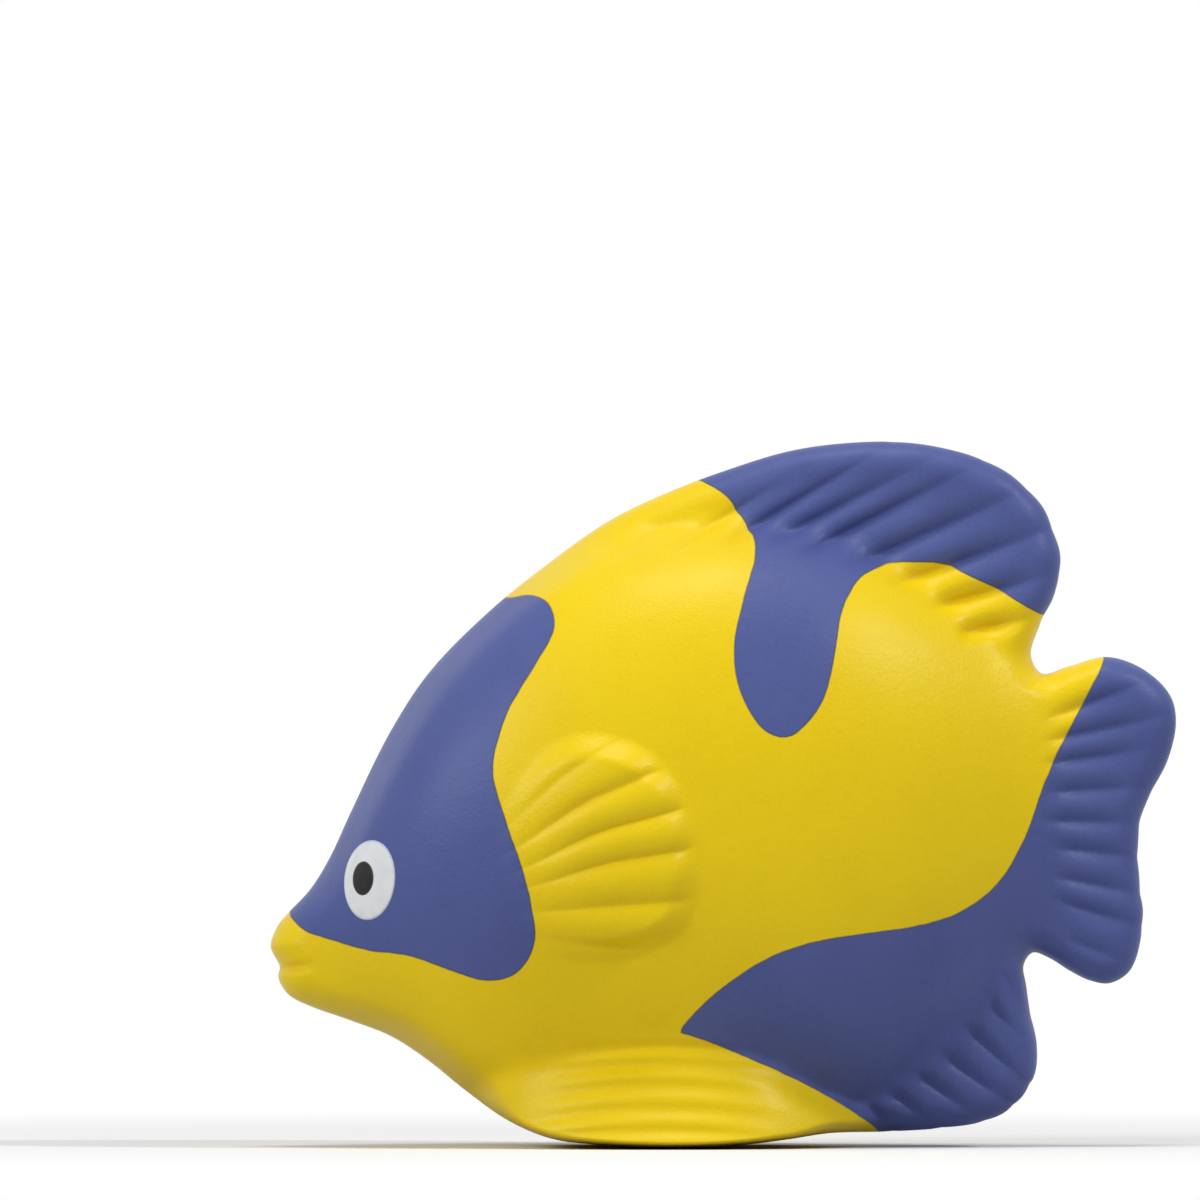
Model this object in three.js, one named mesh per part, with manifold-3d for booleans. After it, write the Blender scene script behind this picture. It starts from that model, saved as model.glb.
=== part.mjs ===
// A squeezable foam fish: a deep, round-sided body with ribbed fins, painted yellow and blue, that
// stands on its pelvic fins. The toy is one foam moulding; each solid here is a region of it that
// moves, stands proud or is painted by itself.
// Millimetres, +Z up. The head is towards -X, the left flank towards -Y, and the origin is on the
// floor under the middle of the fish. Every outline is a list of [x, z] points of the side view.

import * as THREE from 'three';
import { mergeVertices } from 'three/addons/utils/BufferGeometryUtils.js';
import Module from 'manifold-3d';

const wasm = await Module();
wasm.setup();

// Driving sizes

const BODY_WIDTH = 44; // across the flanks at the widest station
const SECTION_FULLNESS = 2.2; // 2 is an ellipse, more is squarer
const PELVIC_FULLNESS = 0.24; // 0.5 is an ellipse, less is squarer
const GAP = 0.3; // between neighbouring solids
const COAT = 0.8; // depth of a painted area let into the body
const PAD_SEAT = 8; // from the middle plane to the inner face of a flank pad
const FIN_ROOT_THICKNESS = 9.6;
const FIN_EDGE_THICKNESS = 6;
const FIN_EDGE_ROUND = 2.2;
const FIN_TAPER_REACH = 14; // from the fin's base line to where it is thinnest
const GROOVE_BASE_RADIUS = 1.1; // a groove between two fin rays, at the body
const GROOVE_TIP_RADIUS = 0.35; // the same groove at the fin's edge
const PECTORAL_RISE = 1.4; // how far a pectoral fin stands off the flank
const PELVIC_SPREAD = 19.8; // from the middle plane to the outside of a pelvic fin, at the floor
const PELVIC_FLARE = 0.17; // how much narrower it is for each millimetre up
const EYE_WIDTH = 6.2; // seen from the side
const EYE_HEIGHT = 9.5;
const PUPIL_WIDTH = 2.7;
const PUPIL_HEIGHT = 4.3;
const PRINT = 0.5; // thickness of a printed eye layer
const FOOT_CUT = 0.5; // flat taken off under the pelvic fins to stand on

const BACK = [
  [-53, 26.2], [-50.1, 31.2], [-45.3, 40.4], [-40.4, 50.4], [-35.6, 57.7], [-28.3, 65.1], [-21, 70.6],
  [-13, 74], [-3, 75.4], [7, 75], [17, 72.4], [27, 66.4], [34, 60.2], [41, 54],
];
const BELLY = [
  [-53, 19.2], [-50.1, 17.1], [-45.3, 15.4], [-40.4, 13.5], [-35.9, 10.6], [-31.3, 6.9], [-26.2, 4.6],
  [-18, 3.6], [-4, 3.4], [8, 3.8], [17, 5.6], [23, 9.4], [29, 15.2], [34, 21.6], [41, 28],
];
// The half width along the body, as a share of the widest.
const PLAN = [
  [-53, 0.14], [-51, 0.23], [-48.5, 0.33], [-46, 0.44], [-43, 0.58], [-38, 0.75], [-30, 0.9],
  [-20, 0.98], [-8, 1], [4, 0.98], [14, 0.9], [24, 0.71], [32, 0.49], [38, 0.31], [41, 0.24],
];

// A fin's base is the line that its neck starts from. Its height is from there to its furthest
// edge, and its outline past the base is drawn to that height.
const DORSAL = {
  name: 'dorsal_fin',
  base: { start: [38, 60.4], end: [-17, 73.4] },
  height: 21.1,
  neck: 7,
  outline: [
    [-22, 68], [-13.7, 76.1], [-6.4, 79.6], [0.8, 82.3], [8.1, 84.5], [15.4, 85.5], [22.7, 85.5],
    [30, 84], [34.8, 81.7], [38.7, 77.9], [41, 71.3], [40.2, 67], [38.5, 63.4], [37.4, 59.7], [30, 54],
    [0, 62],
  ],
  rays: { roots: [[-12.5, 71.7], [3, 73.4], [19, 69.8], [29.1, 62.4]], count: 9, from: 38, to: 11,
    lengths: [[0, 8], [0.5, 21], [1, 9]] },
};
const TAIL = {
  name: 'tail_fin',
  base: { start: [37, 20], end: [37, 60] },
  height: 18,
  neck: 5,
  outline: [
    [30, 56], [38.7, 57.5], [42.1, 58.4], [46.7, 59.5], [51.2, 57.9], [54.3, 54.8], [55, 51.6],
    [54, 47], [51.8, 42.7], [50.7, 39.7], [50.4, 35.4], [50.9, 29.8], [50.7, 25.1], [49.5, 21.5],
    [47, 19.9], [44.6, 20.2], [39.7, 22.9], [37.6, 23.8], [30, 26],
  ],
  rays: { roots: [[40.2, 53.2], [39.3, 40], [40.5, 25.6]], count: 9, from: 22, to: -22,
    lengths: [[0, 11], [0.5, 10], [1, 9]] },
};
const ANAL = {
  name: 'anal_fin',
  base: { start: [13.5, 1.4], end: [36.6, 22.6] },
  height: 12.1,
  neck: 3,
  outline: [
    [33, 27], [36.5, 22.1], [36.8, 19.7], [37.4, 16], [38.1, 12.4], [37.8, 8.7], [35.4, 5.1],
    [32.3, 3.3], [27.6, 2.4], [20.3, 1.9], [13, 2.2], [10, 8], [20, 20],
  ],
  rays: { roots: [[34, 21], [26.5, 11.3], [17.6, 5.2]], count: 7, from: -62, to: -38,
    lengths: [[0, 7], [0.4, 11], [1, 4]] },
};
const PECTORAL = {
  outline: [
    [-24.3, 41], [-21.5, 47], [-16.6, 50], [-10.5, 49], [-5.8, 43.8], [-3.6, 37], [-4, 29], [-8, 24.4],
    [-14, 22.9], [-20, 24.2], [-21.2, 30], [-23.2, 36],
  ],
  pivot: [-41, 27.5],
  count: 7,
  from: 39,
  to: -7,
  start: 20,
  end: 34,
};
const PELVIC = {
  outline: [[-27, 4], [-25, 10.5], [-19, 15.4], [-8, 16.6], [0, 14.8], [7, 10.4], [12.5, 4], [9, 0],
    [-3, -FOOT_CUT], [-15, -FOOT_CUT], [-23, 0.6]],
  centre: [-7, 6],
  reach: 22,
  rays: { roots: [[-20, 11.6], [-21, 8], [-18, 4]], count: 4, from: 0, to: 0,
    lengths: [[0, 19], [0.5, 24], [1, 18]] },
};

// The flank pads fill the outline PAD. Four cuts run out from its middle and part the rest of the trunk.
const PAD_CENTRE = [0, 36];
const REGIONS = {
  head: [[-19, 15], [-26, 56]],
  back: [[-26, 56], [29, 55]],
  rump: [[29, 55], [25, 24]],
  belly: [[25, 24], [-19, 15]],
};
const PAD = [
  [-21, 25], [-23.6, 34], [-26, 42], [-25, 48.6], [-17, 52.4], [-6, 51], [3, 47], [14, 47], [24, 45],
  [28.5, 39], [27, 32], [18, 28.6], [8, 27], [0, 22.6], [-5, 18], [-12, 17], [-18, 19.4],
];
const MASK = [
  [-53.5, 28], [-50.1, 25.9], [-45.3, 24.5], [-38, 23.4], [-33.1, 21.7], [-28.3, 20.4], [-24.8, 21.5],
  [-22.8, 25.1], [-23.1, 28.8], [-25, 36.1], [-27.2, 41.5], [-27.9, 46], [-26.3, 52.4], [-21.9, 59.7],
  [-20.4, 63.5], [-22.6, 67], [-27, 71], [-40, 66], [-54, 44],
];
const SADDLE = [
  [3.9, 71.3], [2.3, 65.2], [1.5, 59.1], [1.8, 56.1], [4, 51.6], [7.5, 49.8], [11, 52.4], [12.6, 56.1],
  [13.7, 61.6], [15.4, 67.3], [18, 76], [10, 82], [4, 78],
];
const VENT_PATCH = [
  [40, 47], [37.4, 39.7], [34.8, 34.2], [31.7, 30.6], [29, 28.8], [23.4, 26.8], [17.8, 26],
  [10.9, 25.1], [5.7, 23.3], [1.6, 20.5], [-1.7, 17.8], [-4.4, 15], [1.6, 13.6], [7, 10.8], [14, 5.4],
  [24, 4], [40, 20],
];
const EYE_CENTRE = [-42.9, 32.6];
const PUPIL_CENTRE = [-43.5, 32.7];
const UPPER_LIP = { at: [-51.6, 25], radii: [3.4, 5, 3.5] };
const LOWER_LIP = { at: [-51, 20], radii: [3, 4.6, 2.6] };

// Fineness of the meshes

const BODY_STATIONS = 22;
const BODY_SIDES = 28;
const OUTLINE_STEP = 3.6; // along an outline
const RELIEF_RINGS = 10;
const GROOVE_SIDES = 4;
const GROOVE_STEPS = 4; // along a groove on a bulging fin
const LIP_FINENESS = 12;
const REACH = 150; // longer than anything it cuts
const WELD = 1e-3;

// Curves

// A smooth function of x through [x, value] points.
function through(points) {
  const slope = (i) => {
    const a = points[Math.max(i - 1, 0)];
    const b = points[Math.min(i + 1, points.length - 1)];
    return (b[1] - a[1]) / (b[0] - a[0]);
  };
  return (x) => {
    const last = points.length - 2;
    const i = Math.min(last, Math.max(0, points.findIndex((p) => p[0] > x) - 1));
    const k = x >= points[last + 1][0] ? last : i;
    const width = points[k + 1][0] - points[k][0];
    const t = THREE.MathUtils.clamp((x - points[k][0]) / width, 0, 1);
    const u = 1 - t;
    return points[k][1] * u * u * (1 + 2 * t) + points[k + 1][1] * t * t * (1 + 2 * u)
      + width * t * u * (slope(k) * u - slope(k + 1) * t);
  };
}

const backAt = through(BACK);
const bellyAt = through(BELLY);
const planAt = through(PLAN);

// Half the body's thickness at a point of the side view, or 0 outside it.
function bodyHalf(x, z, grow = 0) {
  const rise = (backAt(x) - bellyAt(x)) / 2 + grow;
  const middle = (backAt(x) + bellyAt(x)) / 2;
  const share = Math.min(1, Math.abs(z - middle) / rise);
  const width = planAt(x) * BODY_WIDTH / 2 + grow;
  return width * (1 - share ** SECTION_FULLNESS) ** (1 / SECTION_FULLNESS);
}

// A closed smooth outline as evenly spaced points, moved outwards by grow.
function outlinePoints(knots, grow = 0) {
  const through3 = knots.map(([x, z]) => new THREE.Vector3(x, z, 0));
  const curve = new THREE.CatmullRomCurve3(through3, true);
  const count = Math.round(curve.getLength() / OUTLINE_STEP);
  const spaced = curve.getSpacedPoints(count).slice(0, count);
  const points = spaced.map((p) => new THREE.Vector2(p.x, p.y));
  const turn = Math.sign(THREE.ShapeUtils.area(points));
  return points.map((p, i) => {
    const along = points[(i + 1) % count].clone().sub(points[(i + count - 1) % count]).normalize();
    return new THREE.Vector2(p.x + along.y * turn * grow, p.y - along.x * turn * grow);
  });
}

// Solids

function solid(geometry) {
  const bare = geometry.clone();
  bare.deleteAttribute('normal');
  bare.deleteAttribute('uv');
  const merged = mergeVertices(bare, WELD);
  return new wasm.Manifold(new wasm.Mesh({
    numProp: 3,
    vertProperties: merged.attributes.position.array,
    triVerts: new Uint32Array(merged.index.array),
  }));
}

// Moves every vertex of a geometry by a function of its place.
function reshape(geometry, place) {
  const position = geometry.attributes.position;
  const point = new THREE.Vector3();
  for (let i = 0; i < position.count; i += 1) {
    point.fromBufferAttribute(position, i);
    place(point);
    position.setXYZ(i, point.x, point.y, point.z);
  }
  return geometry;
}

// The body as a ball drawn out along its stations, thicker all over by grow.
function bodyForm(grow = 0) {
  const nose = BACK[0][0] - grow;
  const rear = BACK[BACK.length - 1][0] + grow;
  const power = 2 / SECTION_FULLNESS;
  const ball = new THREE.SphereGeometry(1, BODY_SIDES, BODY_STATIONS).rotateZ(Math.PI / 2);
  return solid(reshape(ball, (p) => {
    const ring = Math.hypot(p.y, p.z);
    const x = (nose + rear) / 2 + p.x * (rear - nose) / 2;
    const across = ring < WELD ? 0 : p.y / ring;
    const up = ring < WELD ? 0 : p.z / ring;
    const rise = (backAt(x) - bellyAt(x)) / 2 + grow;
    p.set(
      x,
      (planAt(x) * BODY_WIDTH / 2 + grow) * Math.sign(across) * Math.abs(across) ** power,
      (backAt(x) + bellyAt(x)) / 2 + rise * Math.sign(up) * Math.abs(up) ** power,
    );
  }));
}

// An outline of the side view run from one y to another.
function prism(points, fromY, toY) {
  const shape = new THREE.Shape(points);
  const geometry = new THREE.ExtrudeGeometry(shape, { depth: toY - fromY, bevelEnabled: false });
  return solid(geometry.rotateX(Math.PI / 2).translate(0, toY, 0));
}

function alongBase(base) {
  return new THREE.Vector2(base.end[0] - base.start[0], base.end[1] - base.start[1]).normalize();
}

// The layer of space past a fin's base line, between two distances from it.
function pastBase(base, from, to) {
  const along = alongBase(base);
  const box = new THREE.BoxGeometry(2 * REACH, 2 * REACH, to - from);
  box.translate(0, 0, -(from + to) / 2).rotateY(-along.angle());
  return solid(box.translate(base.start[0], 0, base.start[1]));
}

function distancePastBase(base, x, z) {
  const along = alongBase(base);
  return along.y * (x - base.start[0]) - along.x * (z - base.start[1]);
}

function finHalf(fin, x, z) {
  const share = THREE.MathUtils.clamp(distancePastBase(fin.base, x, z) / FIN_TAPER_REACH, 0, 1);
  return THREE.MathUtils.lerp(FIN_ROOT_THICKNESS, FIN_EDGE_THICKNESS, share) / 2;
}

// A fin's outline, drawn out from its base to the fin's height.
function finOutline(fin) {
  const past = fin.outline.map(([x, z]) => Math.max(0, distancePastBase(fin.base, x, z)));
  const stretch = fin.height / Math.max(...past) - 1;
  const along = alongBase(fin.base);
  return fin.outline.map(([x, z], i) => {
    const drawn = past[i] * stretch;
    return [x + along.y * drawn, z - along.x * drawn];
  });
}

// A fin as a plate with a rounded edge, thinner away from the body.
function finForm(fin) {
  const flat = FIN_ROOT_THICKNESS - 2 * FIN_EDGE_ROUND;
  const geometry = new THREE.ExtrudeGeometry(new THREE.Shape(outlinePoints(finOutline(fin))), {
    depth: flat,
    bevelThickness: FIN_EDGE_ROUND,
    bevelSize: FIN_EDGE_ROUND,
    bevelOffset: -FIN_EDGE_ROUND,
    bevelSegments: 2,
  });
  geometry.rotateX(Math.PI / 2).translate(0, flat / 2, 0);
  return solid(reshape(geometry, (p) => {
    p.y *= finHalf(fin, p.x, p.z) / (FIN_ROOT_THICKNESS / 2);
  }));
}

// A pillow over an outline, listed from the head up over the top: its flat side view is the outline.
function pillow(knots, [x, z], half) {
  const rim = outlinePoints(knots);
  const ball = new THREE.SphereGeometry(1, rim.length, RELIEF_RINGS);
  const ring = rim.length + 1;
  let index = 0;
  return solid(reshape(ball, (p) => {
    const edge = rim[index % ring % rim.length];
    const share = Math.hypot(p.x, p.z);
    const up = p.y;
    index += 1;
    p.set(x + (edge.x - x) * share, 0, z + (edge.y - z) * share);
    p.y = half(p.x, p.z) * Math.sign(up) * Math.abs(up) ** PELVIC_FULLNESS;
  }));
}

// A groove that tapers along the points of a surface.
function groove(points) {
  const last = points.length - 1;
  const radius = (i) => THREE.MathUtils.lerp(GROOVE_BASE_RADIUS, GROOVE_TIP_RADIUS, i / last);
  const upright = new THREE.Vector3(0, 1, 0);
  return wasm.Manifold.union(points.slice(1).map((to, i) => {
    const along = to.clone().sub(points[i]);
    const cone = new THREE.CylinderGeometry(radius(i + 1), radius(i), along.length(), GROOVE_SIDES);
    const turn = new THREE.Quaternion().setFromUnitVectors(upright, along.clone().normalize());
    const middle = points[i].clone().add(to).multiplyScalar(0.5);
    return solid(cone.applyQuaternion(turn).translate(middle.x, middle.y, middle.z));
  }));
}

// The grooves of a fan of rays on one side: they leave the roots' curve and open out evenly.
function fanGrooves(rays, side, half, steps = 1) {
  const roots = new THREE.SplineCurve(rays.roots.map(([x, z]) => new THREE.Vector2(x, z)));
  const lengthAt = through(rays.lengths);
  const cuts = [];
  for (let i = 0; i < rays.count; i += 1) {
    const share = i / (rays.count - 1);
    const root = roots.getPointAt(share);
    const angle = THREE.MathUtils.degToRad(THREE.MathUtils.lerp(rays.from, rays.to, share));
    const points = Array.from({ length: steps + 1 }, (_, k) => {
      const x = root.x + Math.cos(angle) * lengthAt(share) * k / steps;
      const z = root.y + Math.sin(angle) * lengthAt(share) * k / steps;
      return new THREE.Vector3(x, side * half(x, z), z);
    });
    cuts.push(groove(points));
  }
  return wasm.Manifold.union(cuts);
}

function ellipse([x, z], width, height) {
  const curve = new THREE.EllipseCurve(x, z, width / 2, height / 2);
  return curve.getSpacedPoints(Math.round(curve.getLength() / (OUTLINE_STEP / 2))).slice(0, -1);
}

// A piece of the body's surface inside an outline, between two distances from the surface.
function patch(points, side, inner, outer) {
  const column = side < 0 ? prism(points, -REACH, 0) : prism(points, 0, REACH);
  return column.intersect(bodyForm(outer)).subtract(bodyForm(inner));
}

// The part of the side view between two directions from a centre, short of both by half a gap.
function sector([x, z], from, to) {
  const first = new THREE.Vector2(from[0] - x, from[1] - z).normalize();
  const second = new THREE.Vector2(to[0] - x, to[1] - z).normalize();
  const middle = first.clone().add(second).normalize();
  const slack = GAP / 2 / Math.abs(middle.cross(first));
  const apex = middle.clone().multiplyScalar(slack).add(new THREE.Vector2(x, z));
  const corner = (direction) => apex.clone().add(direction.clone().multiplyScalar(REACH));
  return prism([apex, corner(first), corner(middle), corner(second)], -REACH, REACH);
}

function lip({ at, radii }, grow = 0) {
  const ball = new THREE.SphereGeometry(1, LIP_FINENESS, LIP_FINENESS);
  return solid(ball.scale(...radii.map((r) => r + grow)).translate(at[0], 0, at[1]));
}

const upperSpace = new THREE.BoxGeometry(2 * REACH, 2 * REACH, REACH);
const aboveFloor = solid(upperSpace.translate(0, 0, REACH / 2));

// Paints

function paint(color, roughness) {
  return new THREE.MeshStandardMaterial({ color, roughness, metalness: 0 });
}

const YELLOW = paint(0xf0cf2a, 0.55);
const BLUE = paint(0x565f9e, 0.6);
const WHITE = paint(0xe4e6ea, 0.45);
const BLACK = paint(0x1f1e1c, 0.4);
const FOAM = paint(0xe9dfb4, 0.9);

function piece(name, body, material) {
  const made = body.getMesh();
  const geometry = new THREE.BufferGeometry();
  geometry.setAttribute('position', new THREE.BufferAttribute(made.vertProperties, made.numProp));
  geometry.setIndex(new THREE.BufferAttribute(made.triVerts, 1));
  geometry.computeVertexNormals();
  const mesh = new THREE.Mesh(geometry, material);
  mesh.name = name;
  return mesh;
}

// The fish

const SIDES = [['left', -1], ['right', 1]];
const FINS = [DORSAL, TAIL, ANAL];
const fish = new THREE.Group();
const body = bodyForm();

// The trunk is the body short of every fin's base and of the lips, without the flank pads and with
// the painted areas let in.
let trunk = body;
for (const fin of FINS) {
  trunk = trunk.subtract(pastBase(fin.base, -GAP / 2, REACH));
}
trunk = trunk.subtract(lip(UPPER_LIP, GAP)).subtract(lip(LOWER_LIP, GAP));
const coatLayer = trunk.subtract(bodyForm(-COAT));
const coat = (outline) => coatLayer.intersect(prism(outlinePoints(outline, -GAP), -REACH, REACH));
const underCoat = bodyForm(-COAT - GAP);
for (const outline of [MASK, SADDLE, VENT_PATCH]) {
  trunk = trunk.subtract(prism(outlinePoints(outline), -REACH, REACH).subtract(underCoat));
}
trunk = trunk.subtract(prism(outlinePoints(PAD), -REACH, REACH));
for (const [name, [from, to]] of Object.entries(REGIONS)) {
  fish.add(piece(name, trunk.intersect(sector(PAD_CENTRE, from, to)), YELLOW));
}
fish.add(piece('foam_core', prism(outlinePoints(PAD, -GAP), -PAD_SEAT, PAD_SEAT), FOAM));
fish.add(piece('face_mask', coat(MASK), BLUE));

fish.add(piece('upper_lip', lip(UPPER_LIP), YELLOW));
fish.add(piece('lower_lip', lip(LOWER_LIP).subtract(lip(UPPER_LIP, GAP)), YELLOW));

// The fins: a neck that bends, then the fin itself, both ribbed on each side.
for (const fin of FINS) {
  let whole = body.add(finForm(fin));
  for (const [, side] of SIDES) {
    whole = whole.subtract(fanGrooves(fin.rays, side, (x, z) => finHalf(fin, x, z)));
  }
  const neck = whole.intersect(pastBase(fin.base, GAP / 2, fin.neck));
  const blade = whole.intersect(pastBase(fin.base, fin.neck + GAP, REACH));
  fish.add(piece(`${fin.name}_root`, neck, fin === TAIL ? YELLOW : BLUE));
  fish.add(piece(fin.name, blade, BLUE));
}

for (const [hand, side] of SIDES) {
  const halfSpace = new THREE.BoxGeometry(2 * REACH, REACH, 2 * REACH);
  const half = solid(halfSpace.translate(0, side * (REACH + GAP) / 2, 0));
  const padSpan = side < 0 ? [-REACH, -PAD_SEAT - GAP] : [PAD_SEAT + GAP, REACH];
  const pad = body.intersect(prism(outlinePoints(PAD, -GAP), ...padSpan));
  fish.add(piece(`${hand}_flank`, pad, YELLOW));

  const pectoralHalf = (x, z) => bodyHalf(x, z, GAP + PECTORAL_RISE);
  let pectoral = patch(outlinePoints(PECTORAL.outline), side, GAP, GAP + PECTORAL_RISE);
  for (let i = 0; i < PECTORAL.count; i += 1) {
    const share = i / (PECTORAL.count - 1);
    const angle = THREE.MathUtils.degToRad(THREE.MathUtils.lerp(PECTORAL.from, PECTORAL.to, share));
    const at = (distance) => {
      const x = PECTORAL.pivot[0] + distance * Math.cos(angle);
      const z = PECTORAL.pivot[1] + distance * Math.sin(angle);
      return new THREE.Vector3(x, side * pectoralHalf(x, z), z);
    };
    pectoral = pectoral.subtract(groove([at(PECTORAL.end), at(PECTORAL.start)]));
  }
  fish.add(piece(`${hand}_pectoral_fin`, pectoral, YELLOW));

  const pelvicHalf = (x, z) => {
    const share = Math.min(1, Math.abs(x - PELVIC.centre[0]) / PELVIC.reach);
    return (PELVIC_SPREAD - PELVIC_FLARE * z) * Math.sqrt(1 - share * share);
  };
  const pelvic = pillow(PELVIC.outline, PELVIC.centre, pelvicHalf)
    .intersect(half)
    .intersect(aboveFloor)
    .subtract(bodyForm(GAP))
    .subtract(pastBase(ANAL.base, -GAP / 2, REACH))
    .subtract(fanGrooves(PELVIC.rays, side, pelvicHalf, GROOVE_STEPS));
  fish.add(piece(`${hand}_pelvic_fin`, pelvic, YELLOW));

  fish.add(piece(`${hand}_saddle`, coat(SADDLE).intersect(half), BLUE));
  fish.add(piece(`${hand}_vent_patch`, coat(VENT_PATCH).intersect(half), BLUE));

  const eyeRim = ellipse(EYE_CENTRE, EYE_WIDTH, EYE_HEIGHT);
  fish.add(piece(`${hand}_eye_white`, patch(eyeRim, side, GAP, GAP + PRINT), WHITE));
  const pupilRim = ellipse(PUPIL_CENTRE, PUPIL_WIDTH, PUPIL_HEIGHT);
  const pupil = patch(pupilRim, side, 2 * GAP + PRINT, 2 * (GAP + PRINT));
  fish.add(piece(`${hand}_pupil`, pupil, BLACK));
}

export default fish;
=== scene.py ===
"""The moulded skin, paint and printed eyes of a squeezable foam fish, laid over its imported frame.

Lengths are millimetres in the part's own frame: the head is towards -X, the left flank towards -Y and
the floor is z = 0. An outline is a row of (x, z) points of the side view.
"""

import logging
import math
from dataclasses import dataclass, field
from enum import Enum
from typing import Any, Callable, Union

import bmesh
import bpy
import numpy as np
from bmesh.types import BMesh, BMVert
from bpy.types import ID, Material, Mesh, Node, NodeSocket, Object, World
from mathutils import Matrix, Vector
from mathutils.bvhtree import BVHTree


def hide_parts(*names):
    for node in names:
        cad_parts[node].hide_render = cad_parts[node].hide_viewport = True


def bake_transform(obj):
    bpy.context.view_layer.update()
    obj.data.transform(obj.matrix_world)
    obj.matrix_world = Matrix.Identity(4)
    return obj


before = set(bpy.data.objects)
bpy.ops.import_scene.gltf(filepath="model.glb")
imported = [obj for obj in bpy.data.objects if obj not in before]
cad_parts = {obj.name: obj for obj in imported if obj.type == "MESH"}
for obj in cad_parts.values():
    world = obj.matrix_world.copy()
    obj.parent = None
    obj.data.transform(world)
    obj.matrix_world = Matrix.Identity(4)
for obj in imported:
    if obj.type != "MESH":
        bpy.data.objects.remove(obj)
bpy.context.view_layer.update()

LOG = logging.getLogger("foam_fish")
MM = 0.001

Array = np.ndarray
Pair = tuple[Array, Array]
Point = tuple[float, float]
Points = tuple[Point, ...]
Place = tuple[float, float, float]
Colour = tuple[float, float, float, float]


class Side(Enum):
    """The two flanks, by the sign of y."""

    LEFT = -1
    RIGHT = 1

    @property
    def word(self) -> str:
        """The flank's name in lower case."""
        return self.name.lower()


# Curves


def ramp(value: Array, start: float, end: float) -> Array:
    """Rises smoothly from 0 to 1 while a value goes from start to end."""
    share = np.clip((value - start) / (end - start), 0.0, 1.0)
    return share * share * (3.0 - 2.0 * share)


def round_over(depth: Array, radius: Union[float, Array]) -> Array:
    """A quarter round of a radius: 0 at the edge, and 1 from that depth inwards."""
    rest = 1.0 - np.clip(depth / radius, 0.0, 1.0)
    return np.sqrt(1.0 - rest * rest)


def soft_max(first: Array, second: Array, fillet: float) -> Array:
    """The greater of two heights, which melt together while they are less than a fillet apart."""
    apart = np.abs(first - second) / fillet * 4.0
    return np.maximum(first, second) + np.log1p(np.exp(-apart)) * fillet / 4.0


def depth_inside(loop: Array, x: Array, z: Array) -> Array:
    """Measures how far points lie inside a closed loop of straight lengths.

    Args:
        loop: The loop's corners, as rows of x and z.
        x, z: The points.

    Returns:
        The distance to the loop, negative outside it.
    """
    along = np.roll(loop, -1, axis=0) - loop
    reach = (along**2).sum(axis=1)
    slant = along[:, 0] / np.where(along[:, 1] == 0, 1e-9, along[:, 1])
    flat = np.column_stack([x.ravel(), z.ravel()])
    result = np.empty(len(flat))
    batch = 4096
    for first in range(0, len(flat), batch):
        part = flat[first : first + batch]
        dx = part[:, :1] - loop[:, 0]
        dz = part[:, 1:] - loop[:, 1]
        share = np.clip((dx * along[:, 0] + dz * along[:, 1]) / reach, 0.0, 1.0)
        away = (dx - share * along[:, 0]) ** 2 + (dz - share * along[:, 1]) ** 2
        above = dz < 0
        crossed = (above != np.roll(above, -1, axis=1)) & (dx < dz * slant)
        inside = crossed.sum(axis=1) % 2 == 1
        result[first : first + batch] = np.sqrt(away.min(axis=1)) * np.where(inside, 1.0, -1.0)
    return result.reshape(x.shape)


def melt(height: Callable[[Array, Array], Array], x: Array, z: Array) -> Array:
    """Reads a height through a soft lattice, which melts its corners away.

    Args:
        height: The height at points given by their x and z.
        x, z: The points.

    Returns:
        The softened height at the points.
    """
    pitch, low_x, low_z, long, high = 1.7, -64.0, -10.0, 78, 64
    knot_x, knot_z = np.meshgrid(low_x + pitch * np.arange(long), low_z + pitch * np.arange(high), indexing="ij")
    knot = height(knot_x, knot_z)

    def reach(value: Array, low: float) -> tuple[Array, list[Array]]:
        """The first of the four lattice lines that reach a value, and their shares."""
        first = np.floor((value - low) / pitch).astype(int)
        t = (value - low) / pitch - first
        shares = [(1 - t) ** 3, 3 * t**3 - 6 * t**2 + 4, -3 * t**3 + 3 * t**2 + 3 * t + 1, t**3]
        return first - 1, [share / 6 for share in shares]

    i, along = reach(x, low_x)
    j, up = reach(z, low_z)
    return sum(along[a] * up[b] * knot[i + a, j + b] for a in range(4) for b in range(4))


def narrow_rib(index: Array, soft: float = 0.33, crown: float = 0.7) -> Array:
    """The height of ribs, from 0 to 1, with grooves between them at whole numbers. A low crown is a flat one."""
    wave = np.sqrt(np.sin(np.pi * index) ** 2 + soft**2) - soft
    return (wave / (math.sqrt(1 + soft**2) - soft)) ** crown


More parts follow.
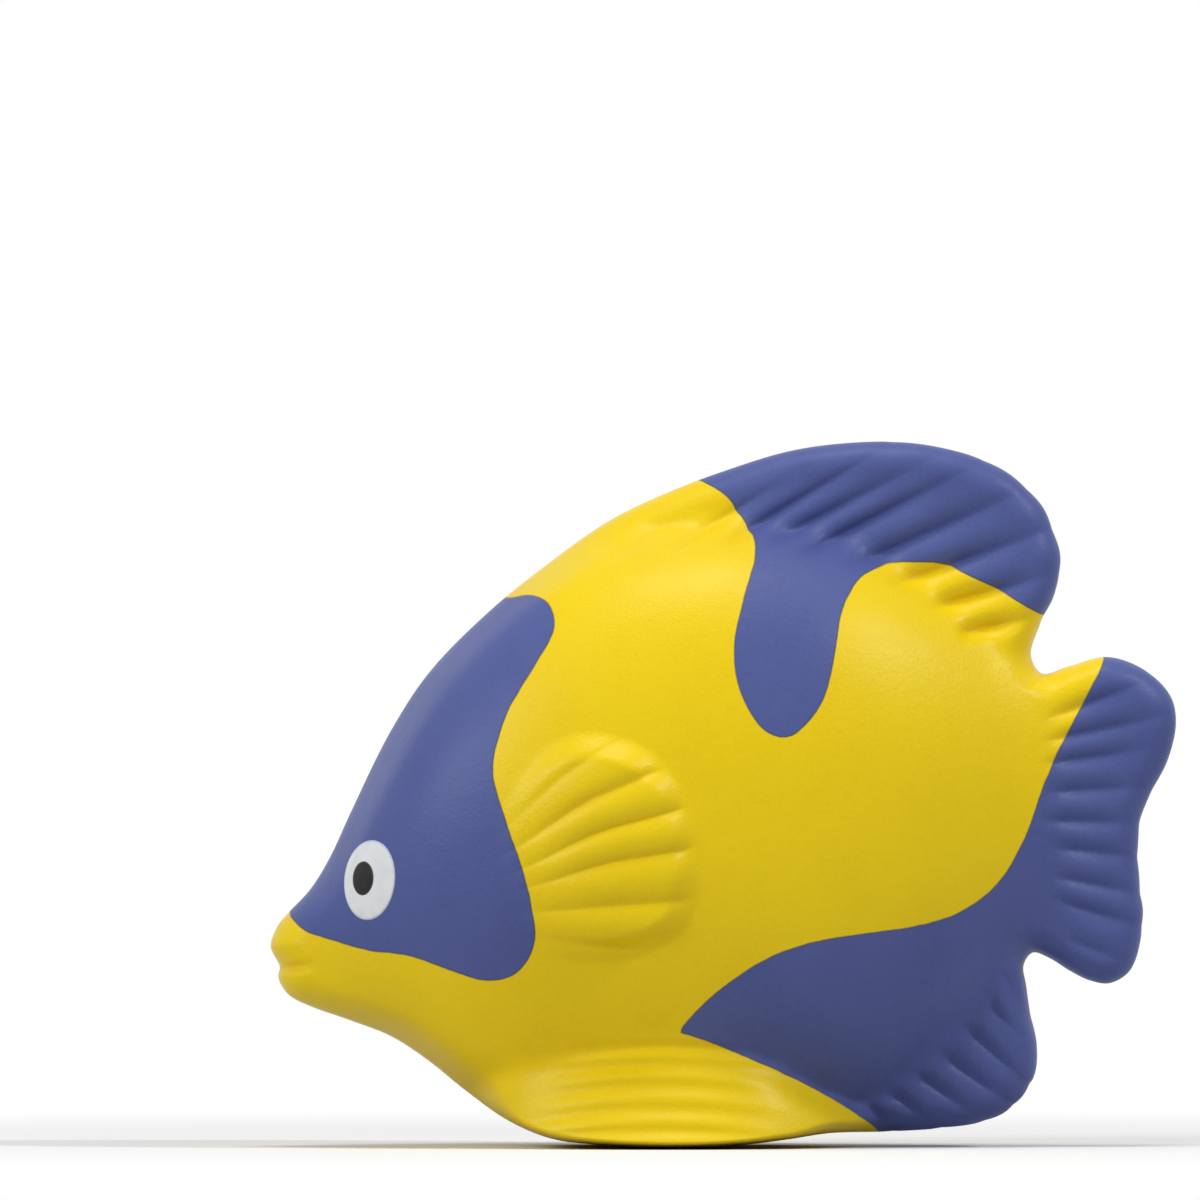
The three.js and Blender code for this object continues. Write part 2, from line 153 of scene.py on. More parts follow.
@dataclass(frozen=True)
class Profile:
    """A smooth function of x that follows a few points."""

    points: Points
    softness: float = 2.8

    def at(self, x: Array) -> Array:
        """Reads the function.

        Args:
            x: Where to read it.

        Returns:
            Its values.
        """
        step, margin, window = 0.25, 10.0, 28
        knots = np.array(self.points)
        place, value = knots[:, 0], knots[:, 1]
        before = np.maximum(np.arange(len(place)) - 1, 0)
        after = np.minimum(np.arange(len(place)) + 1, len(place) - 1)
        slope = (value[after] - value[before]) / (place[after] - place[before])
        fine = np.arange(place[0] - margin, place[-1] + margin, step)
        i = np.clip(np.searchsorted(place, fine, side="right") - 1, 0, len(place) - 2)
        width = place[i + 1] - place[i]
        t = np.clip((fine - place[i]) / width, 0.0, 1.0)
        u = 1.0 - t
        ends = value[i] * u * u * (1 + 2 * t) + value[i + 1] * t * t * (1 + 2 * u)
        drawn = ends + width * t * u * (slope[i] * u - slope[i + 1] * t)
        spread = np.exp(-((np.arange(-window, window + 1) * step / self.softness) ** 2))
        soft = np.convolve(np.pad(drawn, window, mode="edge"), spread / spread.sum(), mode="valid")
        return np.interp(x, fine, soft)


@dataclass(frozen=True)
class Outline:
    """A closed smooth line through points of the side view."""

    knots: Points

    def points(self, count: int) -> Array:
        """Walks the outline in even steps.

        Args:
            count: How many points to give.

        Returns:
            The points, as rows of x and z.
        """
        per_knot = 24
        knot = np.array(self.knots)
        p = [np.roll(knot, 1 - k, axis=0)[:, None, :] for k in range(4)]
        step = [np.sqrt(np.linalg.norm(p[k + 1] - p[k], axis=2, keepdims=True)) for k in range(3)]
        t0, t1 = np.zeros_like(step[0]), step[0]
        t2 = t1 + step[1]
        t3 = t2 + step[2]
        t = t1 + np.linspace(0.0, 1.0, per_knot, endpoint=False)[None, :, None] * step[1]
        a1 = ((t1 - t) * p[0] + (t - t0) * p[1]) / (t1 - t0)
        a2 = ((t2 - t) * p[1] + (t - t1) * p[2]) / (t2 - t1)
        a3 = ((t3 - t) * p[2] + (t - t2) * p[3]) / (t3 - t2)
        b1 = ((t2 - t) * a1 + (t - t0) * a2) / (t2 - t0)
        b2 = ((t3 - t) * a2 + (t - t1) * a3) / (t3 - t1)
        fine = (((t2 - t) * b1 + (t - t1) * b2) / (t2 - t1)).reshape(-1, 2)
        fine = np.vstack([fine, fine[:1]])
        run = np.concatenate([[0.0], np.cumsum(np.linalg.norm(np.diff(fine, axis=0), axis=1))])
        even = np.linspace(0.0, run[-1], count, endpoint=False)
        return np.column_stack([np.interp(even, run, fine[:, k]) for k in range(2)])

    def depth(self, x: Array, z: Array, count: int = 160) -> Array:
        """How far points lie inside the outline, drawn as a count of straight lengths."""
        return depth_inside(self.points(count), x, z)


@dataclass(frozen=True)
class RayFan:
    """The grooves along the rays of a fin, and the ribs that swell between them.

    Each ray is (root x, root z, tip x, tip z, strength), in order round the fin. The pairs are shares of a ray's
    length, between which a groove or a rib comes or goes.
    """

    rays: tuple[tuple[float, ...], ...]
    depth: float
    spacing: float
    rib_rise: float
    starts: Point
    fades: Point
    tip_share: float
    ends: Point = (1.12, 1.35)
    swell_lag: Point = (-0.05, 0.1)
    swell_fades: Point = (0.15, 0.95)

    def relief(self, x: Array, z: Array) -> Pair:
        """Works out how the fan shapes the fin's face.

        Args:
            x, z: The points.

        Returns:
            The change of height, and how deep in a groove each point is, from 0 to 1.
        """
        right, along, strength = [], [], []
        for x0, z0, x1, z1, force in self.rays:
            length = math.hypot(x1 - x0, z1 - z0)
            dx, dz = (x1 - x0) / length, (z1 - z0) / length
            right.append(dz * (x - x0) - dx * (z - z0))
            along.append((dx * (x - x0) + dz * (z - z0)) / length)
            strength.append(force)
        index = np.clip(right[0] / self.spacing, -0.5, 0.0) + np.clip(right[-1] / self.spacing, 0.0, 0.5)
        share, force = along[0].copy(), np.full_like(x, strength[0])
        for i in range(len(right) - 1):
            between = np.clip(right[i] / np.maximum(right[i] - right[i + 1], 1e-3), 0.0, 1.0)
            index += between
            share += between * (along[i + 1] - along[i])
            force += between * (strength[i + 1] - strength[i])
        rib = narrow_rib(index)
        start = ramp(share, *self.starts)
        fade = 1.0 + (self.tip_share - 1.0) * ramp(share, *self.fades)
        fade *= 1.0 - ramp(share, *self.ends)
        swell = ramp(share, self.starts[0] + self.swell_lag[0], self.starts[1] + self.swell_lag[1])
        swell *= 1.0 - ramp(share, *self.swell_fades)
        swell *= ramp(right[0], -self.spacing, 0.0) * (1.0 - ramp(right[-1], 0.0, self.spacing))
        groove = (1.0 - rib) * start * force * fade
        return self.rib_rise * rib * swell - self.depth * groove, np.clip(groove, 0.0, 1.0)


# The fish's form


@dataclass(frozen=True)
class FinSeat:
    """Where a fin bends off the trunk.

    The fin is what lies past the cut, which is a distance along the way out from a point of the base,
    and on the inner side of each fence, given as a point and a direction.
    """

    name: str
    at: Point
    out: Point
    cut: float
    reach: float
    fences: tuple[tuple[Point, Point], ...] = ()

    def past(self, x: Array, z: Array) -> Array:
        """How far points lie past the base."""
        return (x - self.at[0]) * self.out[0] + (z - self.at[1]) * self.out[1]

    def fenced(self, x: Array, z: Array) -> Array:
        """Whether points lie inside the fences."""
        sides = [(x - p[0]) * n[0] + (z - p[1]) * n[1] > 0.0 for p, n in self.fences]
        return np.logical_and.reduce([np.full(x.shape, True), *sides])

    def place(self, distance: float) -> Vector:
        """A point of the middle plane that lies a distance past the base, in metres."""
        return Vector((self.at[0] + self.out[0] * distance, 0.0, self.at[1] + self.out[1] * distance)) * MM


DORSAL = FinSeat("dorsal", at=(10.5, 66.9), out=(0.2300, 0.9732), cut=5.5, reach=14.5)
TAIL = FinSeat("tail", at=(38.15, 40.5), out=(0.9995, -0.0324), cut=0.2, reach=8.0,
               fences=(((38.7, 58.4), (0.39, -0.92)), ((37.6, 23.2), (0.5, 0.87))))
ANAL = FinSeat("anal", at=(25.05, 12.0), out=(0.6762, -0.7368), cut=0.5, reach=8.5,
               fences=(((37.6, 23.2), (-0.5, -0.87)), ((10.0, 0.0), (1.0, 0.0))))


@dataclass(frozen=True)
class PectoralFin:
    """The fin that stands on a flank. Its grooves fan out from a pivot at given angles, and bow a little."""

    outline: Outline = Outline((
        (-28.0, 38.0), (-26.0, 43.6), (-21.5, 48.4), (-16.6, 50.1), (-10.6, 48.8), (-6.4, 45.3), (-4.1, 39.8),
        (-3.3, 33.0), (-4.6, 27.4), (-8.4, 24.3), (-15.0, 22.8), (-22.0, 23.6), (-27.0, 26.5),
    ))
    pivot: Point = (-41.0, 27.5)
    angles: tuple[float, ...] = (-14.0, -5.9, 4.1, 13.4, 20.8, 28.9, 37.4, 45.0)
    bow: float = 1.9
    bow_at: float = 27.0
    bow_width: float = 7.0
    rise: float = 1.9
    rise_rim: Point = (-0.6, 3.0)
    rise_front: Point = (-30.0, -13.0)
    scallop: float = 0.15
    depth: float = 0.72
    groove_front: Point = (15.0, 29.0)
    groove_rim: Point = (-0.2, 2.0)

    def relief(self, x: Array, z: Array) -> Pair:
        """Works out how the fin shapes the flank.

        Args:
            x, z: The points.

        Returns:
            The change of height, and how deep in a groove each point is, from 0 to 1.
        """
        reach = np.hypot(x - self.pivot[0], z - self.pivot[1])
        angle = np.degrees(np.arctan2(z - self.pivot[1], x - self.pivot[0]))
        bow = self.bow * np.exp(-(((reach - self.bow_at) / self.bow_width) ** 2))
        angle = angle - bow * ramp(angle, 0.0, 22.0)
        index = np.interp(angle, self.angles, np.arange(len(self.angles)))
        rib = narrow_rib(index, soft=0.3, crown=0.5)
        inside = self.outline.depth(x, z) - self.scallop * (1.0 - rib)
        raised = ramp(inside, *self.rise_rim) * ramp(x, *self.rise_front)
        groove = (1.0 - rib) * ramp(reach, *self.groove_front) * ramp(inside, *self.groove_rim)
        top, low = ramp(angle, 29.0, 36.0), 1.0 - ramp(angle, -4.0, 2.0)
        groove *= 1.0 - 0.6 * top + 0.4 * low
        return self.rise * raised - self.depth * groove, groove


@dataclass(frozen=True)
class PelvicFin:
    """The fin under the belly that the fish stands on. Its grooves run along it at given levels, and sag."""

    outline: Outline = Outline((
        (-30.0, 6.0), (-26.5, 10.5), (-20.9, 14.0), (-13.0, 14.7), (-5.3, 14.1), (3.9, 10.9), (10.1, 7.5),
        (18.8, 2.4), (16.0, -4.0), (-6.0, -6.0), (-28.0, -2.0),
    ))
    spread: float = 21.4
    flare: float = 0.42
    middle: float = -7.0
    half_length: float = 26.0
    edge_round: float = 3.2
    levels: tuple[float, ...] = (-0.4, 2.1, 4.8, 7.6, 10.2, 12.4, 15.0)
    sag: float = 0.006
    sag_at: float = -8.0
    depth: float = 0.42
    shade: float = 0.5

    def stand_out(self, x: Array, z: Array, half: Array) -> Array:
        """Puts the fin on the body.

        Args:
            x, z: The points.
            half: The half thickness without the fin.

        Returns:
            The half thickness with it.
        """
        share = np.clip(np.abs(x - self.middle) / self.half_length, 0.0, 1.0)
        spread = (self.spread - self.flare * z) * np.sqrt(1.0 - share * share)
        leaf = round_over(self.outline.depth(x, z), self.edge_round)
        return half + np.maximum(spread - half, 0.0) * leaf

    def relief(self, x: Array, z: Array) -> Pair:
        """Works out the grooves on the fin.

        Args:
            x, z: The points.

        Returns:
            The change of height, and how much a groove shades each point, from 0 to 1.
        """
        level = np.interp(z + self.sag * (x - self.sag_at) ** 2, self.levels, np.arange(len(self.levels)))
        front, rear = ramp(x + 0.5 * (10.0 - z), -24.0, -12.0), 1.0 - ramp(x, -4.0, 9.0)
        foot, top = ramp(z, 0.6, 2.4), 1.0 - ramp(z, 12.6, 14.4)
        groove = (0.5 + 0.5 * np.cos(2 * np.pi * level)) * (front * rear * (foot * top))
        return -self.depth * groove, self.shade * groove


@dataclass(frozen=True)
class FishForm:
    """The outside of the moulding: half its thickness at each point of the side view.

    A lip is (x, z, half its length, half its width, half its height).
    """

    width: float = 44.0
    fullness: float = 2.2
    fin_root: float = 9.6
    fin_edge: float = 6.2
    fin_taper: float = 14.0
    edge_round: float = 3.4
    fillet: float = 6.0
    foot_round: float = 0.9
    scallop: float = 0.16
    scallop_full: float = 0.3
    lip_fillet: float = 2.0
    crease_width: float = 0.55
    crease_depth: float = 1.5
    crease_fades: Point = (0.2, 1.0)
    centre: Point = (12.0, 45.0)
    silhouette: Outline = Outline((
        (-53.8, 21.9), (-54.0, 20.8), (-53.6, 19.6), (-52.5, 18.3), (-50.1, 17.1), (-45.3, 15.4), (-40.4, 13.5),
        (-35.9, 10.6), (-31.3, 6.9), (-26.2, 3.3), (-21.0, 1.1), (-16.1, 0.4), (-8.9, 0.0), (-2.8, 0.0),
        (3.3, 0.4), (8.1, 1.0), (13.0, 1.7), (20.3, 1.9), (27.6, 2.4), (32.3, 3.3), (35.4, 5.1), (37.8, 8.7),
        (38.1, 12.4), (37.4, 16.0), (36.8, 19.7), (36.5, 22.1), (37.6, 23.6), (39.7, 22.9), (42.1, 21.4),
        (44.6, 20.2), (47.0, 19.9), (49.5, 21.5), (50.7, 25.1), (51.0, 28.5), (50.7, 31.2), (50.4, 35.4),
        (50.7, 39.7), (51.8, 42.7), (54.0, 47.0), (55.0, 51.6), (54.3, 54.8), (51.2, 57.9), (46.7, 59.5),
        (42.1, 58.4), (38.7, 57.5), (37.4, 59.7), (38.5, 63.4), (40.2, 67.0), (41.0, 71.3), (40.3, 74.3),
        (38.7, 77.9), (34.8, 81.7), (30.0, 84.0), (22.7, 85.5), (15.4, 85.5), (8.1, 84.5), (0.8, 82.3),
        (-6.4, 79.6), (-13.7, 76.1), (-21.0, 71.0), (-28.3, 65.1), (-35.6, 57.7), (-40.4, 50.4), (-45.3, 40.4),
        (-47.7, 35.2), (-50.1, 31.3), (-52.9, 28.3), (-54.1, 26.8), (-54.9, 24.3),
    ))
    back: Profile = Profile((
        (-53.0, 26.2), (-50.1, 31.2), (-45.3, 40.4), (-40.4, 50.4), (-35.6, 57.7), (-28.3, 65.1), (-21.0, 70.6),
        (-13.0, 74.0), (-3.0, 75.4), (7.0, 75.0), (17.0, 72.4), (27.0, 66.4), (34.0, 60.2), (41.0, 54.0),
    ))
    belly: Profile = Profile((
        (-53.0, 19.2), (-50.1, 17.1), (-45.3, 15.4), (-40.4, 13.5), (-35.9, 10.6), (-31.3, 6.9), (-26.2, 4.6),
        (-18.0, 3.6), (-4.0, 3.4), (8.0, 3.8), (17.0, 5.6), (23.0, 9.4), (29.0, 15.2), (34.0, 21.6), (41.0, 28.0),
    ))
    plan: Profile = Profile((
        (-53.0, 0.14), (-51.0, 0.23), (-48.5, 0.33), (-46.0, 0.44), (-43.0, 0.58), (-38.0, 0.75), (-30.0, 0.9),
        (-20.0, 0.98), (-8.0, 1.0), (4.0, 0.98), (14.0, 0.9), (24.0, 0.71), (32.0, 0.49), (38.0, 0.31),
        (42.0, 0.2), (46.0, 0.08), (50.0, 0.0),
    ))
    pectoral: PectoralFin = PectoralFin()
    pelvic: PelvicFin = PelvicFin()
    upper_lip: tuple[float, ...] = (-51.8, 25.0, 3.2, 4.5, 3.4)
    lower_lip: tuple[float, ...] = (-51.2, 19.7, 2.9, 4.3, 2.5)
    mouth: tuple[Point, Point] = ((-54.8, 21.7), (-48.4, 22.2))
    fans: tuple[RayFan, ...] = (
        RayFan((  # The dorsal fin
            (-12.9, 71.6, -6.8, 76.2, 0.28), (-5.8, 72.6, 6.1, 80.4, 0.55), (0.5, 73.2, 17.1, 83.5, 0.9),
            (6.2, 73.5, 22.6, 82.2, 0.8), (10.1, 72.1, 28.7, 81.8, 1.0), (16.9, 70.9, 35.8, 79.4, 1.05),
            (21.5, 68.4, 38.9, 74.7, 1.2), (26.1, 65.6, 38.2, 69.0, 1.3), (29.0, 62.4, 37.5, 64.2, 1.2),
        ), depth=0.9, spacing=4.5, rib_rise=0.2, starts=(-0.1, 0.1), fades=(0.4, 1.12), tip_share=0.16),
        RayFan((  # The tail
            (39.9, 52.2, 49.4, 55.8, 1.0), (39.9, 49.5, 51.1, 51.8, 1.0), (39.7, 46.7, 49.2, 48.0, 1.0),
            (39.7, 43.2, 49.4, 43.7, 1.0), (39.3, 39.7, 48.6, 39.5, 1.0), (40.2, 36.4, 48.9, 35.5, 1.0),
            (40.2, 32.9, 49.2, 31.1, 1.0), (40.2, 30.1, 49.4, 27.3, 1.0), (41.4, 25.4, 48.3, 22.7, 0.7),
        ), depth=0.62, spacing=3.4, rib_rise=0.1, starts=(-0.15, 0.3), fades=(0.6, 1.15), tip_share=0.25),
        RayFan((  # The anal fin
            (33.6, 21.4, 36.9, 16.6, 0.5), (32.2, 17.4, 35.6, 14.0, 0.7), (29.4, 14.6, 36.5, 8.3, 1.0),
            (26.5, 11.3, 35.2, 5.1, 1.0), (23.4, 9.0, 30.6, 4.0, 1.0), (20.4, 6.6, 25.6, 2.9, 1.0),
            (17.6, 5.1, 20.4, 2.7, 0.8),
        ), depth=0.7, spacing=3.2, rib_rise=0.15, starts=(-0.12, 0.2), fades=(0.4, 1.15), tip_share=0.25),
    )

    def trunk(self, x: Array, z: Array) -> Array:
        """Half the thickness of the body without fins.

        Args:
            x, z: The points.

        Returns:
            The half thickness, 0 outside the body.
        """
        top, low = self.back.at(x), self.belly.at(x)
        share = np.clip(np.abs(z - (top + low) / 2) / ((top - low) / 2), 0.0, 1.0)
        section = (1.0 - share**self.fullness) ** (1.0 / self.fullness)
        return self.plan.at(x) * self.width / 2 * section

    def mass(self, x: Array, z: Array) -> Array:
        """Half the thickness before the fine relief: trunk, fin plates and pelvic fins together.

        Args:
            x, z: The points.

        Returns:
            The half thickness.
        """
        past = np.maximum.reduce([seat.past(x, z) for seat in (DORSAL, TAIL, ANAL)])
        taper = np.clip(past / self.fin_taper, 0.0, 1.0)
        plate = (self.fin_root + (self.fin_edge - self.fin_root) * taper) / 2
        return self.pelvic.stand_out(x, z, soft_max(self.trunk(x, z), plate, self.fillet))

    def edge(self, count: int) -> Array:
        """The silhouette, nicked where grooves run out over a fin's edge.

        Args:
            count: How many points to give.

        Returns:
            The points, as rows of x and z.
        """
        loop = self.silhouette.points(count)
        along = np.roll(loop, -1, axis=0) - np.roll(loop, 1, axis=0)
        along /= np.linalg.norm(along, axis=1, keepdims=True)
        inward = np.column_stack([-along[:, 1], along[:, 0]])
        nick = np.zeros(count)
        for fan in self.fans:
            nick = np.maximum(nick, fan.relief(loop[:, 0], loop[:, 1])[1])
        return loop + inward * (self.scallop * np.minimum(nick / self.scallop_full, 1.0))[:, None]

    def rounding(self, x: Array, z: Array) -> Array:
        """How far the rounding of the silhouette's edge reaches: less under the feet."""
        front, rear = ramp(x, -33.0, -24.0), 1.0 - ramp(x, 8.0, 20.0)
        foot = (1.0 - ramp(z, 3.0, 8.0)) * front * rear
        return self.edge_round + (self.foot_round - self.edge_round) * foot

    def relief(self, x: Array, z: Array) -> Pair:
        """The fine relief on that mass: ribs, grooves and the raised pectoral fin.

        Args:
            x, z: The points.

        Returns:
            The change of half thickness, and how deep in a groove each point is, from 0 to 1.
        """
        change, groove_shade = np.zeros_like(x), np.zeros_like(x)
        for part in (*self.fans, self.pectoral, self.pelvic):
            height, groove = part.relief(x, z)
            change += height
            groove_shade = np.maximum(groove_shade, groove)
        return change, groove_shade

    def lips(self, x: Array, z: Array, half: Array) -> Pair:
        """Puts the lips and the mouth's crease on the snout.

        Args:
            x, z: The points.
            half: The half thickness without lips.

        Returns:
            The half thickness with lips, and how deep in the crease each point is, from 0 to 1.
        """
        for at_x, at_z, long, across, high in (self.upper_lip, self.lower_lip):
            share = 1.0 - ((x - at_x) / long) ** 2 - ((z - at_z) / high) ** 2
            ball = across * np.sqrt(np.maximum(share, 0.0))
            half = soft_max(half, ball, self.lip_fillet)
        (x0, z0), (x1, z1) = self.mouth
        length = math.hypot(x1 - x0, z1 - z0)
        share = np.clip(((x - x0) * (x1 - x0) + (z - z0) * (z1 - z0)) / length**2, 0.0, 1.0)
        away = np.hypot(x - x0 - share * (x1 - x0), z - z0 - share * (z1 - z0))
        crease = np.exp(-((away / self.crease_width) ** 2)) * (1.0 - ramp(share, *self.crease_fades))
        return half - self.crease_depth * crease, crease


# The mesh


@dataclass(frozen=True)
class PaintPlan:
    """The edges of the blue paint on one flank. Past the silhouette each is closed in the open."""

    mask: Outline
    saddle: Outline
    rear: Outline
    steps: int = 220

    def blue(self, x: Array, z: Array) -> Array:
        """How far inside the blue paint points lie, negative on the yellow."""
        return np.maximum.reduce([part.depth(x, z, self.steps) for part in (self.mask, self.saddle, self.rear)])


LEFT_PAINT = PaintPlan(
    mask=Outline((
        (-56.0, 30.5), (-53.2, 28.1), (-51.0, 26.5), (-47.7, 25.3), (-42.9, 24.0), (-38.0, 23.4), (-33.1, 21.7),
        (-28.3, 20.4), (-24.8, 21.5), (-22.9, 25.1), (-23.1, 28.8), (-24.4, 34.2), (-26.3, 39.7), (-27.9, 46.0),
        (-26.3, 52.4), (-23.2, 57.9), (-21.0, 61.6), (-20.4, 63.7), (-21.2, 66.0), (-23.4, 67.0), (-25.9, 66.5),
        (-28.4, 66.2), (-33.0, 72.0), (-48.0, 68.0), (-58.0, 48.0),
    )),
    saddle=Outline((
        (-4.6, 82.4), (-2.8, 81.3), (-0.6, 80.4), (1.6, 78.6), (3.0, 76.2), (3.9, 72.4), (2.4, 66.4), (1.3, 60.8),
        (1.8, 56.0), (4.5, 51.1), (7.2, 49.8), (9.2, 50.7), (12.0, 54.3), (13.4, 59.7), (14.4, 65.2), (16.4, 68.9),
        (19.0, 70.4), (22.7, 70.6), (26.7, 70.3), (29.4, 69.3), (33.6, 67.4), (38.8, 64.5), (44.0, 63.0),
        (50.0, 78.0), (30.0, 95.0), (4.0, 93.0),
    )),
    rear=Outline((
        (48.2, 62.6), (46.7, 59.6), (43.8, 54.3), (40.9, 48.8), (38.6, 43.3), (36.7, 37.9), (33.5, 32.4),
        (29.0, 28.8), (23.4, 27.0), (17.0, 26.1), (10.9, 25.1), (5.7, 23.3), (-0.1, 19.6), (-3.1, 16.9),
        (-4.7, 15.1), (-5.4, 14.2), (-4.3, 13.9), (-1.2, 12.8), (3.3, 10.9), (8.6, 8.5), (14.7, 5.1),
        (19.1, 1.9), (22.0, -1.5), (40.0, -3.0), (60.0, 10.0), (64.0, 52.0),
    )),
)
RIGHT_PAINT = PaintPlan(
    mask=Outline((
        (-56.0, 32.0), (-52.1, 29.7), (-47.4, 27.0), (-43.3, 24.4), (-39.9, 21.8), (-36.8, 19.2), (-33.4, 16.5),
        (-29.8, 15.4), (-26.6, 17.1), (-24.9, 20.1), (-24.5, 23.4), (-25.5, 28.7), (-26.9, 34.4), (-27.8, 40.1),
        (-26.9, 46.0), (-23.1, 52.1), (-20.5, 55.2), (-18.4, 58.2), (-17.5, 61.5), (-18.0, 64.6), (-20.0, 66.8),
        (-22.7, 67.5), (-26.0, 67.3), (-29.0, 67.6), (-33.0, 73.0), (-48.0, 68.0), (-58.0, 48.0),
    )),
    saddle=Outline((
        (-4.0, 84.5), (-3.0, 79.7), (-3.1, 73.9), (-3.0, 65.3), (-2.0, 59.6), (-0.4, 55.2), (1.7, 52.8),
        (4.2, 51.9), (6.7, 53.1), (8.7, 56.0), (10.0, 60.5), (11.0, 66.4), (12.2, 70.0), (14.4, 72.8),
        (17.6, 74.7), (21.6, 75.2), (25.6, 74.0), (30.7, 71.0), (35.2, 67.4), (38.6, 65.0), (44.0, 62.5),
        (50.0, 78.0), (30.0, 95.0), (4.0, 94.0),
    )),
    rear=Outline((
        (46.0, 63.0), (45.6, 58.6), (44.4, 54.6), (42.9, 48.7), (40.6, 40.4), (39.0, 36.8), (35.8, 31.6),
        (31.6, 27.7), (27.6, 25.2), (20.6, 23.3), (12.4, 21.5), (7.0, 19.6), (1.7, 16.4), (-2.6, 13.2),
        (-4.8, 11.6), (-2.6, 11.2), (5.1, 8.6), (12.6, 5.6), (18.3, 2.4), (21.0, -1.5), (40.0, -3.0),
        (60.0, 10.0), (64.0, 52.0),
    )),
)


@dataclass(frozen=True)
class SkinPiece:
    """A piece of the skin: what it is made over, a body's name, and a start and an end point."""

    name: str
    region: int
    nodes: tuple[str, ...]
    body: str
    start: Vector
    end: Vector

    @property
    def flank(self) -> bool:
        """Whether it is half of the trunk and not a fin."""
        return self.region < len(Side)


def put_in_scene(name: str, data: ID) -> Object:
    """Puts a mesh, a lamp or a camera into the scene as an object."""
    made = bpy.data.objects.new(name, data)
    bpy.context.scene.collection.objects.link(made)
    return made


def settle(bm: BMesh, name: str, finish: Material) -> Object:
    """Puts a mesh that is done into the scene, and frees its working copy.

    Args:
        bm: The working copy.
        name: The object's name.
        finish: Its material.

    Returns:
        The object.
    """
    mesh = bpy.data.meshes.new(name)
    bm.to_mesh(mesh)
    bm.free()
    mesh.materials.append(finish)
    LOG.info("%s: %d faces", name, len(mesh.polygons))
    return put_in_scene(name, mesh)


